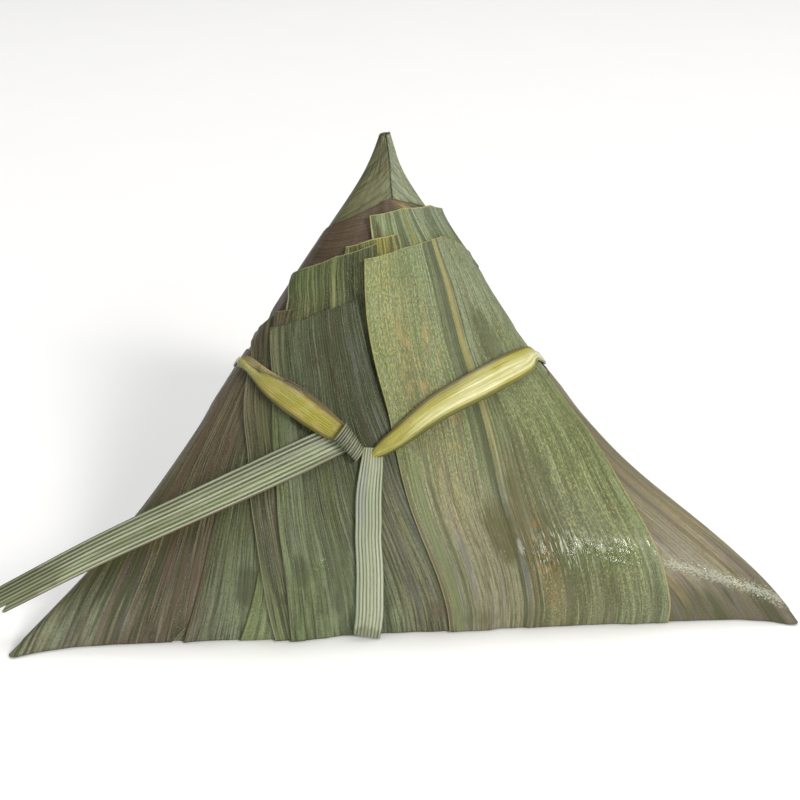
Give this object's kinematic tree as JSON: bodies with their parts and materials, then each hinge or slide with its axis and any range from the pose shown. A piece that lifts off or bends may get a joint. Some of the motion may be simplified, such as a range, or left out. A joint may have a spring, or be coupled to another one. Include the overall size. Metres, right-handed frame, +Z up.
{
  "type": "zongzi rice dumpling",
  "caption": "Four-cornered glutinous rice dumpling wrapped in overlapping bamboo leaves and tied round the middle with a knotted leaf strip with loose tails.",
  "frame": {"origin": "on the flat base, in the middle of the wrapped body's width, in line with the two long front corners' midpoint", "axes": "+Z up through the horn, +X along the long front edge to the viewer's right, -Y the front with the knot"},
  "size_m": [0.1342, 0.0957, 0.073],
  "materials": {
    "leaf_olive": "cooked olive bamboo leaf, satin with fine veins",
    "leaf_brown": "cooked brown bamboo leaf, satin with fine veins",
    "leaf_green": "cooked yellow-green bamboo leaf, satin and damp in places",
    "leaf_grey_green": "grey-green leaf underside, matt",
    "tie_leaf": "pale ribbed leaf strip, satin"
  },
  "bodies": {
    "root": {"filling_wrap": "leaf_olive", "leaf_horn_left": "leaf_olive", "leaf_horn_right": "leaf_grey_green", "leaf_horn_collar": "leaf_brown", "leaf_left_corner": "leaf_brown", "leaf_right_corner": "leaf_brown", "leaf_back_corner": "leaf_olive", "leaf_left_inner": "leaf_green", "leaf_upper_right": "leaf_grey_green", "leaf_upper_sliver": "leaf_brown", "leaf_upper_tab": "leaf_olive", "leaf_upper_left": "leaf_green", "leaf_gusset": "leaf_green", "leaf_left_strip": "leaf_brown", "leaf_front_left": "leaf_olive", "leaf_front_right": "leaf_green", "tie": "tie_leaf"}
  },
  "joints": []
}
